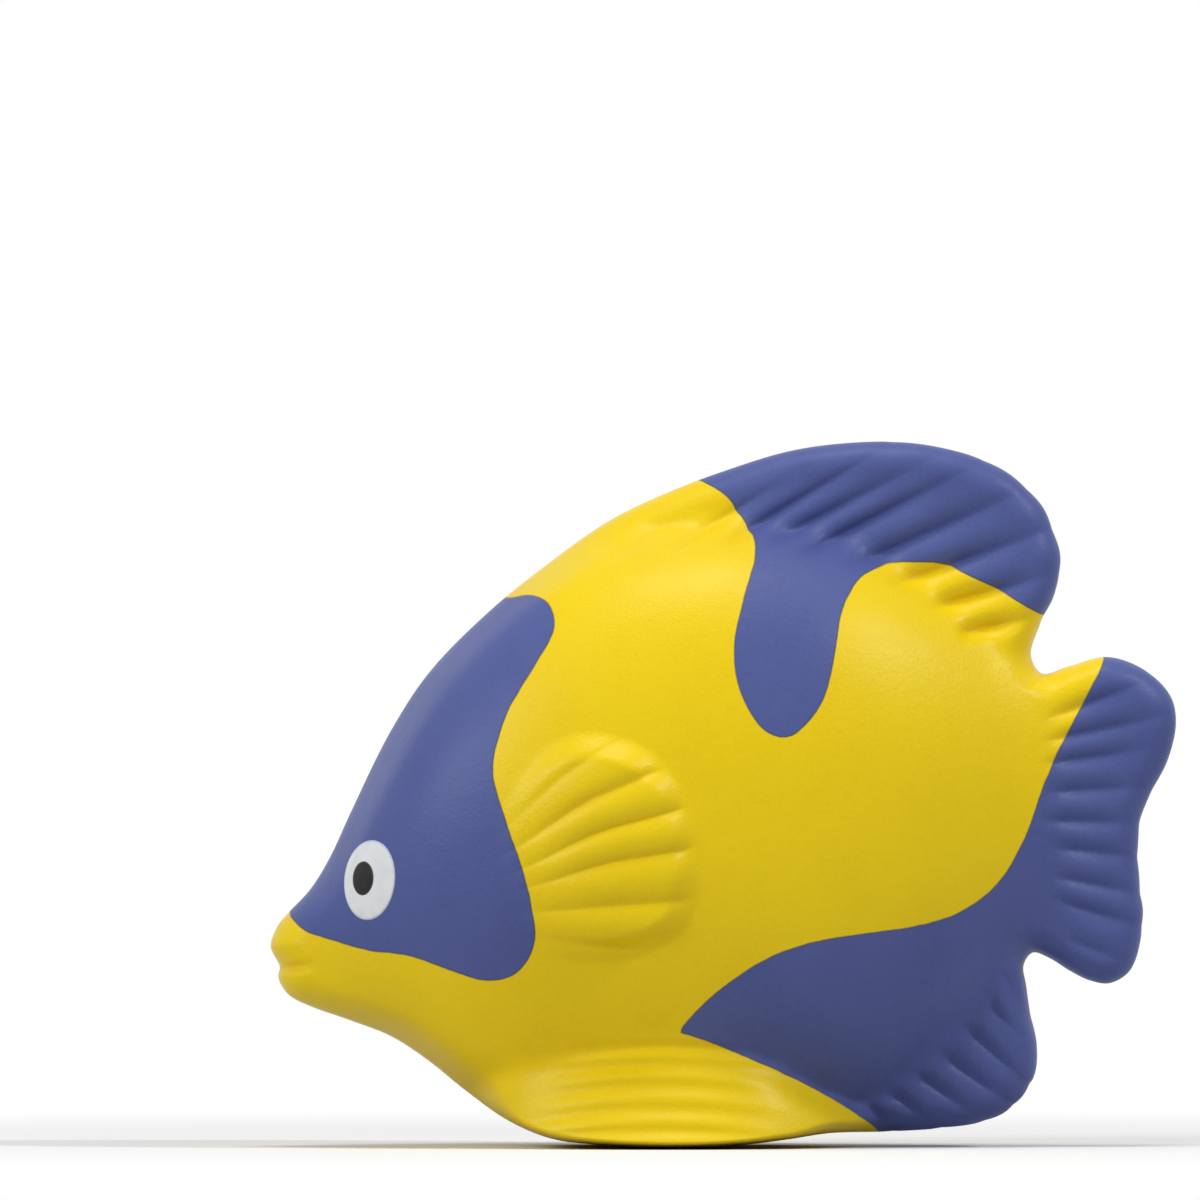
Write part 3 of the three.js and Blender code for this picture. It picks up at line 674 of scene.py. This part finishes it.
@dataclass
class Moulding:
    """The foam moulding's whole skin, and the pieces that it is parted into where it bends."""

    form: FishForm = field(default_factory=FishForm)
    spokes: int = 960
    rings: int = 130
    rim_rings: int = 20
    rim_share: float = 0.1
    coarse: int = 4
    touch: float = 1e-6
    weld: float = 1e-7
    pole: float = 0.99999
    paint_meets: float = 7.0
    paint_reach: float = 6.0
    bend_lag: float = 0.3
    press_start: float = 8.5
    press_end: float = 20.0
    seats: tuple[FinSeat, ...] = (DORSAL, TAIL, ANAL)
    whole: BMesh = field(default_factory=bmesh.new)

    def grid(self) -> tuple[Array, ...]:
        """Works out the form on rings that shrink from the silhouette to the middle.

        Returns:
            Arrays by ring and spoke: x, z, half thickness, groove depth (kept for the painted groove shade), and
                blue paint left and right.
        """
        inner = np.linspace(0.0, 1.0 - self.rim_share, self.rings - self.rim_rings, endpoint=False)
        turn = np.linspace(math.pi / 2, 0.0, self.rim_rings + 1)
        share = np.concatenate([inner, 1.0 - self.rim_share * (1.0 - np.cos(turn))])
        form = self.form
        edge = form.edge(self.spokes)
        x = form.centre[0] + share[:, None] * (edge[:, 0] - form.centre[0])
        z = form.centre[1] + share[:, None] * (edge[:, 1] - form.centre[1])
        near = slice(-2 * self.rim_rings, None)
        rim = depth_inside(edge[:: self.coarse], x, z)
        rim[near] = depth_inside(edge, x[near], z[near])
        rim = np.maximum(rim, 0.0)
        rim[-1] = 0.0
        change, groove_shade = form.relief(x, z)
        half, crease = form.lips(x, z, melt(form.mass, x, z) + change)
        half = half * round_over(rim, form.rounding(x, z))
        return x, z, half, np.maximum(groove_shade, crease), LEFT_PAINT.blue(x, z), RIGHT_PAINT.blue(x, z)

    def ball(self) -> Mesh:
        """Rolls a grid into a ball of radius 1, with a row of faces for each spoke.

        Returns:
            The ball's mesh.
        """
        bm = bmesh.new()
        bmesh.ops.create_grid(bm, x_segments=self.spokes, y_segments=2 * self.rings, size=1.0)
        for vert in bm.verts:
            turn, fall = vert.co.x * math.pi, (1.0 - vert.co.y) * math.pi / 2
            wide = 0.0 if abs(vert.co.y) > self.pole else math.sin(fall)
            vert.co = wide * math.cos(turn), wide * math.sin(turn), math.cos(fall)
        bmesh.ops.remove_doubles(bm, verts=bm.verts, dist=self.touch)
        mesh = bpy.data.meshes.new("moulding")
        bm.to_mesh(mesh)
        bm.free()
        return mesh

    def build(self) -> None:
        """Draws a ball out to the form and notes paint, groove depth for the painted groove shade, and normals on
        its vertices.
        """
        x, z, half, groove_shade, left, right = self.grid()
        mesh = self.ball()
        count = len(mesh.vertices)
        place = np.empty(count * 3)
        mesh.vertices.foreach_get("co", place)
        place = place.reshape(-1, 3)
        turn = np.arctan2(place[:, 1], place[:, 0]) / (2 * math.pi)
        spoke = np.rint(turn * self.spokes).astype(int) % self.spokes
        fall = np.rint(np.arccos(np.clip(place[:, 2], -1.0, 1.0)) / math.pi * 2 * self.rings).astype(int)
        ring = np.minimum(fall, 2 * self.rings - fall)
        side = np.where(fall < self.rings, -1.0, np.where(fall > self.rings, 1.0, 0.0))
        there = (ring, spoke)
        place = np.column_stack([x[there], side * half[there], z[there]]) * MM
        over = ramp(side * half[there], -self.paint_meets, self.paint_meets)
        blue = left[there] + (right[there] - left[there]) * over
        mesh.vertices.foreach_set("co", place.ravel())
        mesh.update()
        normal = np.empty(count * 3)
        mesh.vertex_normals.foreach_get("vector", normal)
        for name, kind, key, values in (
            ("blue_paint", "FLOAT", "value", np.clip(blue, -self.paint_reach, self.paint_reach)),
            ("groove_shade", "FLOAT", "value", np.clip(groove_shade[there], 0.0, 1.0)),
            ("moulded_normal", "FLOAT_VECTOR", "vector", normal),
        ):
            mesh.attributes.new(name, kind, "POINT").data.foreach_set(key, values.astype(np.float32))
        self.whole.from_mesh(mesh)
        bpy.data.meshes.remove(mesh)
        self.part()

    def part(self) -> None:
        """Cuts the skin along the fins' seats and numbers each face by the piece that it belongs to."""
        bm = self.whole
        for seat in self.seats:
            way = Vector((seat.out[0], 0.0, seat.out[1]))
            geom = [*bm.verts, *bm.edges, *bm.faces]
            cut = seat.place(seat.cut)
            bmesh.ops.bisect_plane(bm, geom=geom, dist=self.touch, plane_co=cut, plane_no=way)
        drawn = bpy.data.meshes.new("parted")
        bm.to_mesh(drawn)
        centre = np.empty(len(drawn.polygons) * 3)
        drawn.polygons.foreach_get("center", centre)
        bpy.data.meshes.remove(drawn)
        x, y, z = centre.reshape(-1, 3).T / MM
        number = np.where(y < 0, 0, 1)
        for own, seat in enumerate(self.seats, len(Side)):
            number[(seat.past(x, z) > seat.cut) & seat.fenced(x, z)] = own
        for face, own in zip(bm.faces, number.tolist()):
            face.smooth = True
            face.material_index = own

    def pieces(self) -> list[SkinPiece]:
        """Lists the pieces of the skin.

        Returns:
            One piece for each flank and each fin that bends.
        """
        made = []
        shared = ("head", "back", "rump", "belly", "foam_core", "face_mask", "upper_lip", "lower_lip")
        own = ("flank", "pectoral_fin", "pelvic_fin", "saddle", "vent_patch")
        level = self.form.centre[1]
        for number, side in enumerate(Side):
            nodes = shared + tuple(f"{side.word}_{name}" for name in own)
            start = Vector((0.0, side.value * self.press_start, level)) * MM
            end = Vector((0.0, side.value * self.press_end, level)) * MM
            made.append(SkinPiece(f"{side.word}_skin", number, nodes, f"{side.word}_side", start, end))
        for number, seat in enumerate(self.seats, len(Side)):
            nodes = (f"{seat.name}_fin", f"{seat.name}_fin_root")
            reach = (seat.place(seat.cut + self.bend_lag), seat.place(seat.reach))
            made.append(SkinPiece(f"{seat.name}_skin", number, nodes, seat.name, *reach))
        return made

    def close(self, bm: BMesh, flank: bool) -> None:
        """Closes a piece behind its cuts, and keeps the cut's rim crisp.

        Args:
            bm: The open piece.
            flank: Whether it is half of the trunk, which is closed at the middle plane.
        """
        rim = [edge for edge in bm.edges if edge.is_boundary]
        for edge in rim:
            edge.smooth = False
        if flank:
            walls = [edge for edge in rim if max(abs(v.co.y) for v in edge.verts) > self.touch]
            drawn = bmesh.ops.extrude_edge_only(bm, edges=walls)["geom"]
            for vert in (item for item in drawn if isinstance(item, BMVert)):
                vert.co.y = 0.0
            open_verts = dict.fromkeys(v for edge in bm.edges if edge.is_boundary for v in edge.verts)
            bmesh.ops.remove_doubles(bm, verts=list(open_verts), dist=self.weld)
        bmesh.ops.holes_fill(bm, edges=[edge for edge in bm.edges if edge.is_boundary], sides=0)

    def cut_out(self, piece: SkinPiece, finish: Material) -> Object:
        """Makes one piece of the skin as an object.

        Args:
            piece: Which piece.
            finish: Its paint.

        Returns:
            The object.
        """
        bm = self.whole.copy()
        others = [face for face in bm.faces if face.material_index != piece.region]
        bmesh.ops.delete(bm, geom=others, context="FACES")
        shell = len(bm.faces)
        bm.faces.index_update()
        self.close(bm, piece.flank)
        for face in bm.faces:
            face.material_index = 0
        bm.normal_update()
        made = settle(bm, piece.name, finish)
        self.keep_normals(made.data, shell)
        return made

    def keep_normals(self, mesh: Mesh, shell: int) -> None:
        """Gives a piece the whole moulding's normals, so that no seam shows where pieces meet.

        Args:
            mesh: The piece's mesh.
            shell: How many of its faces are skin. The rest close it.
        """
        vertex = np.empty(len(mesh.vertices) * 3, dtype=np.float32)
        mesh.attributes["moulded_normal"].data.foreach_get("vector", vertex)
        vertex = vertex.reshape(-1, 3)
        corner = np.empty(len(mesh.loops), dtype=np.int64)
        mesh.loops.foreach_get("vertex_index", corner)
        normals = vertex[corner]
        for face in mesh.polygons[shell:]:
            normals[face.loop_start : face.loop_start + face.loop_total] = face.normal
        mesh.normals_split_custom_set(normals.tolist())
        mesh.attributes.remove(mesh.attributes["moulded_normal"])


class Layer(Enum):
    """The printed layers of an eye."""

    WHITE = "eye_print"
    PUPIL = "pupil_print"


@dataclass(frozen=True)
class EyePrint:
    """One printed layer of an eye, laid on the skin."""

    kind: Layer
    at: Point
    half_width: float
    half_height: float
    lean: float
    lift: float
    sink: float = 0.3
    around: int = 72
    rings: int = 20
    plumpness: float = 0.4
    outside: float = 60.0

    def build(self, side: Side, skin: BVHTree, finish: Material) -> Object:
        """Lays the layer on one cheek.

        Args:
            side: Which cheek.
            skin: The moulding's surface.
            finish: The print's ink.

        Returns:
            The object.
        """
        bm = bmesh.new()
        bmesh.ops.create_uvsphere(bm, u_segments=self.around, v_segments=self.rings, radius=1.0)
        lean = math.radians(self.lean)
        share = bm.verts.layers.float.new("from_middle")
        for vert in bm.verts:
            across, up, through = vert.co
            wide, high = across * self.half_width, up * self.half_height
            x = self.at[0] + wide * math.cos(lean) + high * math.sin(lean)
            z = self.at[1] - wide * math.sin(lean) + high * math.cos(lean)
            origin = Vector((x, side.value * self.outside, z)) * MM
            spot, normal, _, _ = skin.ray_cast(origin, Vector((0.0, -side.value, 0.0)))
            height = (self.lift if through > 0 else -self.sink) * abs(through) ** self.plumpness
            vert[share] = math.hypot(across, up)
            vert.co = spot + normal * height * MM
        bmesh.ops.recalc_face_normals(bm, faces=bm.faces)
        for face in bm.faces:
            face.smooth = True
        return settle(bm, f"{side.word}_{self.kind.value}", finish)


EYES = {
    Side.LEFT: (
        EyePrint(Layer.WHITE, (-42.8, 32.5), half_width=3.1, half_height=4.86, lean=6.0, lift=0.14),
        EyePrint(Layer.PUPIL, (-43.5, 32.7), half_width=1.3, half_height=2.1, lean=4.0, lift=0.26, sink=0.1),
    ),
    Side.RIGHT: (
        EyePrint(Layer.WHITE, (-41.9, 32.8), half_width=3.15, half_height=4.8, lean=4.0, lift=0.14),
        EyePrint(Layer.PUPIL, (-42.4, 32.6), half_width=1.4, half_height=2.15, lean=3.0, lift=0.26, sink=0.1),
    ),
}


# Finishes

Owner = Union[Material, World]
Value = Union["Term", float, tuple[float, ...]]
SURFACE = "ShaderNodeBsdfPrincipled"


def operator(operation: str, turned: bool = False) -> Callable[["Term", Value], "Term"]:
    """Makes an operator that adds a Math node, with the other value first if it is turned."""
    def apply(term: "Term", other: Value) -> "Term":
        """Adds the node."""
        pair = (other, term) if turned else (term, other)
        return term.shader.node("ShaderNodeMath", {"operation": operation}, dict(enumerate(pair)))

    return apply


class Term:
    """A socket of a node tree that takes part in Python arithmetic."""

    __add__, __radd__ = operator("ADD"), operator("ADD", turned=True)
    __sub__, __rsub__ = operator("SUBTRACT"), operator("SUBTRACT", turned=True)
    __mul__, __rmul__ = operator("MULTIPLY"), operator("MULTIPLY", turned=True)

    def __init__(self, shader: "Shader", socket: NodeSocket) -> None:
        """Wraps a socket of a shader."""
        self.shader = shader
        self.socket = socket

    def __abs__(self) -> "Term":
        """The size without its sign."""
        return self.shader.node("ShaderNodeMath", {"operation": "ABSOLUTE"}, {0: self})

    def step(self, start: float, end: float) -> "Term":
        """Rises smoothly from 0 to 1 between two values."""
        settings = {"interpolation_type": "SMOOTHSTEP"}
        return self.shader.node("ShaderNodeMapRange", settings, {0: self, 1: start, 2: end, 3: 0.0, 4: 1.0})


class Shader:
    """The nodes of a material or a world under construction."""

    def __init__(self, owner: Owner) -> None:
        """Starts from the nodes that the owner comes with."""
        owner.use_nodes = True
        self.owner = owner
        self.tree = owner.node_tree

    def node(self, kind: str, settings: dict[str, Any], values: dict[Any, Value], out: Any = 0) -> Term:
        """Adds a node.

        Args:
            kind: The node's type.
            settings: What is set on the node itself, before its sockets.
            values: What goes into its sockets, by name or number.
            out: Which output to use.

        Returns:
            That output.
        """
        made = self.tree.nodes.new(kind)
        for key, setting in settings.items():
            setattr(made, key, setting)
        self.fill(made, values)
        return Term(self, made.outputs[out])

    def own(self, kind: str, values: dict[Any, Value]) -> Node:
        """Fills in the node of a type that the owner came with."""
        made = next(node for node in self.tree.nodes if node.bl_idname == kind)
        self.fill(made, values)
        return made

    def fill(self, node: Node, values: dict[Any, Value]) -> None:
        """Links or sets a node's sockets.

        Args:
            node: The node.
            values: What goes into its sockets, by name or number.
        """
        for key, value in values.items():
            if isinstance(value, Term):
                self.tree.links.new(value.socket, node.inputs[key])
            else:
                node.inputs[key].default_value = value

    def attribute(self, name: str) -> Term:
        """Reads a number noted on the mesh."""
        return self.node("ShaderNodeAttribute", {"attribute_name": name}, {}, "Fac")

    def noise(self, size: float, detail: float = 2.0, roughness: float = 0.5) -> Term:
        """Adds soft noise whose grains are about a size across, in millimetres."""
        where = self.node("ShaderNodeTexCoord", {}, {}, "Object")
        values = {"Vector": where, "Scale": 1.0 / (size * MM), "Detail": detail, "Roughness": roughness}
        return self.node("ShaderNodeTexNoise", {"noise_dimensions": "3D"}, values)

    def mix(self, share: Value, first: Value, second: Value) -> Term:
        """Mixes two colours."""
        return self.node("ShaderNodeMix", {"data_type": "RGBA"}, {0: share, 6: first, 7: second}, 2)

    def bump(self, height: Value, distance: float) -> Term:
        """Turns a height of 0 to 1 into relief, over a distance in millimetres."""
        return self.node("ShaderNodeBump", {}, {"Strength": 1.0, "Distance": distance * MM, "Height": height})

    def seen(self) -> Term:
        """1 for the rays that show a thing: from the camera, by gloss or through glass."""
        ways = ("Camera", "Glossy", "Transmission")
        camera, gloss, glass = (self.node("ShaderNodeLightPath", {}, {}, f"Is {way} Ray") for way in ways)
        return (camera + gloss + glass).step(0.0, 1.0)


def colour(*channels: int) -> Colour:
    """Turns the red, green and blue of a screen, from 0 to 255, into light with full cover."""
    shares = (channel / 255 for channel in channels)
    return (*(s / 12.92 if s <= 0.04045 else ((s + 0.055) / 1.055) ** 2.4 for s in shares), 1.0)


@dataclass(frozen=True)
class SoftTouchPaint:
    """Matt rubbery paint over foam: a yellow coat, blue sprayed through masks over it, and painted groove shade.
    """

    yellow: Colour = colour(243, 210, 14)
    # The deep colours are darker tones for real mottling and specks, and for painted shade in the grooves and the
    # mouth's crease.
    deep_yellow: Colour = colour(234, 198, 8)
    blue: Colour = colour(82, 94, 153)
    deep_blue: Colour = colour(70, 81, 140)
    edge: Colour = colour(66, 68, 92)
    edge_cover: float = 0.7
    roughness: float = 0.33
    gloss: float = 0.21
    relief_depth: float = 0.03

    def make(self) -> Material:
        """Mixes the paint.

        Returns:
            The material.
        """
        shader = Shader(bpy.data.materials.new("soft_touch_paint"))
        wobble = (shader.noise(size=2.4, detail=3.0) - 0.5) * 0.25
        depth = shader.attribute("blue_paint") + wobble
        blue = depth.step(-0.05, 0.09)
        # Painted shade: the coat darkens toward the deep colours in grooves and the mouth's crease, on top of real
        # mottling and specks.
        groove_shade = shader.attribute("groove_shade") * 0.5
        cloud = shader.noise(size=14.0, detail=3.0).step(0.3, 0.7) * 0.45
        fleck = shader.noise(size=0.55, detail=3.0, roughness=0.7).step(0.42, 0.72) * 0.3
        shade = (cloud + groove_shade + fleck).step(0.0, 1.3)
        yellow_coat = shader.mix(shade, self.yellow, self.deep_yellow)
        blue_coat = shader.mix(shade, self.blue, self.deep_blue)
        coat = shader.mix(blue, yellow_coat, blue_coat)
        line = (1.0 - (abs(depth - 0.02) * 5.5)).step(0.0, 1.0)
        rub = shader.noise(size=5.0, detail=4.0)
        grain = shader.noise(size=0.4, roughness=0.6) * 1.5
        dimple = shader.noise(size=2.6) * 1.6
        shader.own(SURFACE, {
            "Base Color": shader.mix(line * self.edge_cover, coat, self.edge),
            "Roughness": self.roughness + rub * 0.1 + blue * 0.04,
            "Normal": shader.bump(grain + dimple + blue * 2.0, self.relief_depth),
            "Specular IOR Level": self.gloss,
        })
        return shader.owner


@dataclass(frozen=True)
class PrintInk:
    """Ink that is pad-printed on the cheek, with a thin rim where the layer ends."""

    name: str
    middle: Colour
    worn: Colour
    rim: Colour
    rim_width: float
    roughness: float
    rim_cover: float = 0.8
    gloss: float = 0.2
    relief_depth: float = 0.008

    def make(self) -> Material:
        """Mixes the ink.

        Returns:
            The material.
        """
        shader = Shader(bpy.data.materials.new(self.name))
        ragged = (shader.noise(size=0.7) - 0.5) * 0.03
        from_middle = shader.attribute("from_middle") + ragged
        patch = shader.noise(size=2.2, detail=3.0).step(0.35, 0.7)
        ink = shader.mix(patch, self.middle, self.worn)
        rim = from_middle.step(1.0 - self.rim_width, 1.0)
        shader.own(SURFACE, {
            "Base Color": shader.mix(rim * self.rim_cover, ink, self.rim),
            "Roughness": self.roughness + patch * 0.08,
            "Normal": shader.bump(shader.noise(size=0.3), self.relief_depth),
            "Specular IOR Level": self.gloss,
        })
        return shader.owner


EYE_INK = PrintInk(
    "eye_white_ink", middle=colour(236, 237, 239), worn=colour(227, 229, 232), rim=colour(176, 184, 210),
    rim_width=0.08, roughness=0.42,
)
PUPIL_INK = PrintInk(
    "pupil_ink", middle=colour(28, 27, 25), worn=colour(38, 37, 35), rim=colour(120, 118, 112),
    rim_width=0.12, roughness=0.38,
)


# The studio


@dataclass(frozen=True)
class Lamp:
    """A square soft lamp, in metres and watts."""

    name: str
    at: Place
    size: float
    watts: float

    def hang(self, aim: Place) -> None:
        """Hangs the lamp so that it faces a point."""
        light = bpy.data.lights.new(self.name, "AREA")
        light.size = self.size
        light.energy = self.watts
        made = put_in_scene(self.name, light)
        made.location = self.at
        made.rotation_euler = (Vector(aim) - Vector(self.at)).to_track_quat("-Z", "Y").to_euler()


@dataclass(frozen=True)
class Studio:
    """A pale floor, soft lamps and the camera, in metres."""

    distance: float = 4.0
    sensor: float = 36.0
    frame_width: float = 0.14568
    aim: Place = (-0.01493, 0.0, 0.06641)
    white: Colour = (1.0, 1.0, 1.0, 1.0)
    sky: float = 0.32
    sky_tint: Colour = (0.97, 0.98, 1.0, 1.0)
    floor_lit: Colour = (0.55, 0.55, 0.55, 1.0)
    floor_shown: Colour = (0.97, 0.97, 0.97, 1.0)
    floor_roughness: float = 0.9
    floor_fades: Point = (0.07, 0.3)
    floor_reach: float = 4.0
    lamp_aim: Place = (0.0, 0.0, 0.04)
    lamps: tuple[Lamp, ...] = (
        Lamp("top", (0.0, -0.18, 0.98), size=0.3, watts=3.0),
        Lamp("front", (-0.68, -0.56, 0.46), size=0.35, watts=3.35),
        Lamp("rear", (0.66, -0.34, 0.7), size=0.08, watts=3.0),
    )

    def floor(self) -> None:
        """Lays the floor, which fades into the white beyond."""
        shader = Shader(bpy.data.materials.new("pale_floor"))
        seen = shader.seen()
        matt = shader.own(SURFACE, {
            "Base Color": shader.mix(seen, self.floor_lit, self.floor_shown),
            "Roughness": self.floor_roughness,
            "Specular IOR Level": 0.0,
        })
        where = shader.node("ShaderNodeTexCoord", {}, {}, "Object")
        away = shader.node("ShaderNodeVectorMath", {"operation": "LENGTH"}, {0: where}, "Value")
        glow = shader.node("ShaderNodeEmission", {}, {"Color": self.white, "Strength": 1.0})
        fade = away.step(*self.floor_fades) * seen
        faded = shader.node("ShaderNodeMixShader", {}, {0: fade, 1: Term(shader, matt.outputs[0]), 2: glow})
        shader.own("ShaderNodeOutputMaterial", {"Surface": faded})
        bm = bmesh.new()
        bmesh.ops.create_grid(bm, x_segments=8, y_segments=8, size=self.floor_reach)
        made = settle(bm, "floor", shader.owner)

    def world(self) -> None:
        """Fills the room with even light, and shows it white."""
        shader = Shader(bpy.data.worlds.new("room"))
        lit = shader.own("ShaderNodeBackground", {"Color": self.sky_tint, "Strength": self.sky})
        shown = shader.node("ShaderNodeBackground", {}, {"Color": self.white, "Strength": 1.0})
        ways = {0: shader.seen(), 1: Term(shader, lit.outputs[0]), 2: shown}
        shader.own("ShaderNodeOutputWorld", {"Surface": shader.node("ShaderNodeMixShader", {}, ways)})
        bpy.context.scene.world = shader.owner

    def camera(self) -> None:
        """Sets the camera level in front of the left flank."""
        lens = bpy.data.cameras.new("camera")
        lens.sensor_width = self.sensor
        lens.lens = self.sensor * self.distance / self.frame_width
        made = put_in_scene("camera", lens)
        made.location = (self.aim[0], self.aim[1] - self.distance, self.aim[2])
        made.rotation_euler = (math.pi / 2, 0.0, 0.0)
        bpy.context.scene.camera = made

    def build(self) -> None:
        """Sets up the whole studio."""
        self.floor()
        self.world()
        for lamp in self.lamps:
            lamp.hang(self.lamp_aim)
        self.camera()
        bpy.context.scene.view_settings.view_transform = "Standard"


def main() -> None:
    """Builds the fish piece by piece and sets it in the studio."""
    logging.basicConfig(level=logging.INFO, format="%(name)s: %(message)s")
    moulding = Moulding()
    moulding.build()
    paint = SoftTouchPaint().make()
    pieces = moulding.pieces()
    for piece in pieces:
        made = moulding.cut_out(piece, paint)
        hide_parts(*piece.nodes)
        "yellow_coat" if piece.flank else "blue_coat"
        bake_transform(made)
    skin = BVHTree.FromBMesh(moulding.whole)
    layers = {
        Layer.WHITE: ("eye_white", "eye_white", EYE_INK.make()),
        Layer.PUPIL: ("pupil", "eye_black", PUPIL_INK.make()),
    }
    for side, flank in zip(Side, pieces):
        for layer in EYES[side]:
            node, slot, ink = layers[layer.kind]
            made = layer.build(side, skin, ink)
            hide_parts(f"{side.word}_{node}")
            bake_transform(made)
    moulding.whole.free()
    Studio().build()


if __name__ == "__main__":
    main()
